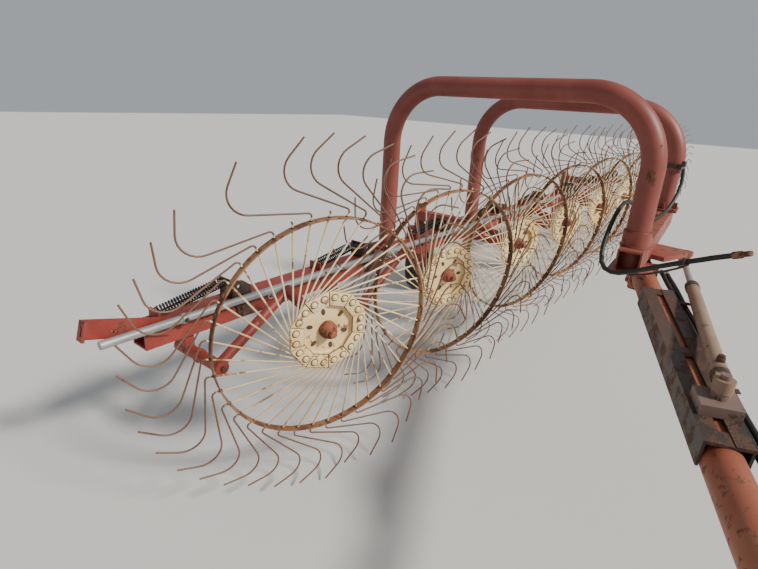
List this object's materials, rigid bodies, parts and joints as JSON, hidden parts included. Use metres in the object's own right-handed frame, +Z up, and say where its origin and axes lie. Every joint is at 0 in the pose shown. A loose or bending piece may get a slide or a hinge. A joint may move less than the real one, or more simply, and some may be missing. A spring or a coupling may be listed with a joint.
{
  "type": "trailed finger wheel hay rake",
  "caption": "Trailed hay rake: spring finger wheels on a beam, carried over them by two bent tube arches from a long drawbar tongue, with casters and a parking jack.",
  "frame": {"origin": "on the floor, under the middle of the machine's box", "axes": "+X along the rake beam away from the hitch, +Z up; the finger wheels face -Y"},
  "size_m": [8.808, 3.3974, 1.741],
  "materials": {
    "tongue_paint": "faded",
    "red_paint": "faded",
    "dark_steel": "rusty",
    "galvanised": "dull",
    "cylinder_rust": "rusty",
    "bright_rod": "polished",
    "dusty_steel": "rusty",
    "black_spring": "satin",
    "tyre": "matte",
    "rusty_wire": "rusty",
    "cream_paint": "weathered",
    "rubber": "matte"
  },
  "bodies": {
    "tongue": {"tongue_tube": "tongue_paint", "tongue_rails": "dark_steel", "hitch": "dark_steel", "pivot_pin": "dark_steel", "jack_body": "dark_steel", "anchor_block": "dusty_steel", "hose_run": "rubber"},
    "jack_leg": {"jack_leg": "galvanised"},
    "barrel": {"barrel": "cylinder_rust"},
    "rod": {"rod": "bright_rod"},
    "wing": {"inner_beam": "red_paint", "arch_near": "red_paint", "arch_far": "red_paint", "rake_beam": "red_paint", "end_bar": "red_paint", "crank_arms": "red_paint", "float_springs": "black_spring", "spring_brackets": "dark_steel", "lift_pipe": "galvanised", "lift_chains": "galvanised", "hose_loose": "rubber", "hose_coupler": "dark_steel", "caster_arms": "red_paint"},
    "caster_1": {"caster_fork_1": "red_paint"},
    "wheel_1": {"caster_wheel_1": "tyre"},
    "caster_2": {"caster_fork_2": "red_paint"},
    "wheel_2": {"caster_wheel_2": "tyre"},
    "reel_1": {"reel_1": "rusty_wire", "hub_1": "cream_paint"},
    "reel_2": {"reel_2": "rusty_wire", "hub_2": "cream_paint"},
    "reel_3": {"reel_3": "rusty_wire", "hub_3": "cream_paint"},
    "reel_4": {"reel_4": "rusty_wire", "hub_4": "cream_paint"},
    "reel_5": {"reel_5": "rusty_wire", "hub_5": "cream_paint"},
    "reel_6": {"reel_6": "rusty_wire", "hub_6": "cream_paint"},
    "reel_7": {"reel_7": "rusty_wire", "hub_7": "cream_paint"},
    "reel_8": {"reel_8": "rusty_wire", "hub_8": "cream_paint"}
  },
  "joints": [
    {"name": "jack_slide", "type": "slide", "parent": "tongue", "child": "jack_leg", "axis": [0, 0, 1], "range_m": [0, 0.35]},
    {"name": "wing_turn", "type": "hinge", "parent": "tongue", "child": "wing", "pos_m": [-1.09446, -0.39749, 0.86], "axis": [0, 0, 1], "range_deg": [-45, 21]},
    {"name": "barrel_swing", "type": "hinge", "parent": "tongue", "child": "barrel", "pos_m": [-2.31386, -0.87629, 0.907], "axis": [0, 0, 1], "range_deg": [-1.4, 0.92]},
    {"name": "rod_slide", "type": "slide", "parent": "barrel", "child": "rod", "axis": [0.976, 0.2177, 0], "range_m": [-0.1605, 0.076]},
    {"name": "caster_turn_1", "type": "hinge", "parent": "wing", "child": "caster_1", "pos_m": [-0.32972, 1.47711, 0], "axis": [0, 0, 1], "continuous": true},
    {"name": "wheel_roll_1", "type": "hinge", "parent": "caster_1", "child": "wheel_1", "pos_m": [-0.18968, 1.53086, 0.28], "axis": [-0.3584, 0.9336, 0], "continuous": true},
    {"name": "caster_turn_2", "type": "hinge", "parent": "wing", "child": "caster_2", "pos_m": [3.25028, 1.47711, 0], "axis": [0, 0, 1], "continuous": true},
    {"name": "wheel_roll_2", "type": "hinge", "parent": "caster_2", "child": "wheel_2", "pos_m": [3.39032, 1.53086, 0.28], "axis": [-0.3584, 0.9336, 0], "continuous": true},
    {"name": "reel_turn_1", "type": "hinge", "parent": "wing", "child": "reel_1", "pos_m": [-2.61972, 0.37211, 0.765], "axis": [-0.325, -0.9438, -0.061], "continuous": true},
    {"name": "reel_turn_2", "type": "hinge", "parent": "wing", "child": "reel_2", "pos_m": [-1.71672, 0.37211, 0.765], "axis": [-0.325, -0.9438, -0.061], "continuous": true},
    {"name": "reel_turn_3", "type": "hinge", "parent": "wing", "child": "reel_3", "pos_m": [-0.81372, 0.37211, 0.765], "axis": [-0.325, -0.9438, -0.061], "continuous": true},
    {"name": "reel_turn_4", "type": "hinge", "parent": "wing", "child": "reel_4", "pos_m": [0.08928, 0.37211, 0.765], "axis": [-0.325, -0.9438, -0.061], "continuous": true},
    {"name": "reel_turn_5", "type": "hinge", "parent": "wing", "child": "reel_5", "pos_m": [0.99228, 0.37211, 0.765], "axis": [-0.325, -0.9438, -0.061], "continuous": true},
    {"name": "reel_turn_6", "type": "hinge", "parent": "wing", "child": "reel_6", "pos_m": [1.89528, 0.37211, 0.765], "axis": [-0.325, -0.9438, -0.061], "continuous": true},
    {"name": "reel_turn_7", "type": "hinge", "parent": "wing", "child": "reel_7", "pos_m": [2.79828, 0.37211, 0.765], "axis": [-0.325, -0.9438, -0.061], "continuous": true},
    {"name": "reel_turn_8", "type": "hinge", "parent": "wing", "child": "reel_8", "pos_m": [3.70128, 0.37211, 0.765], "axis": [-0.325, -0.9438, -0.061], "continuous": true}
  ],
  "couplings": [
    {"joint": "barrel_swing", "follows": "wing_turn", "ratio": 0.02003},
    {"joint": "rod_slide", "follows": "wing_turn", "m_per_rad": 0.20184}
  ]
}
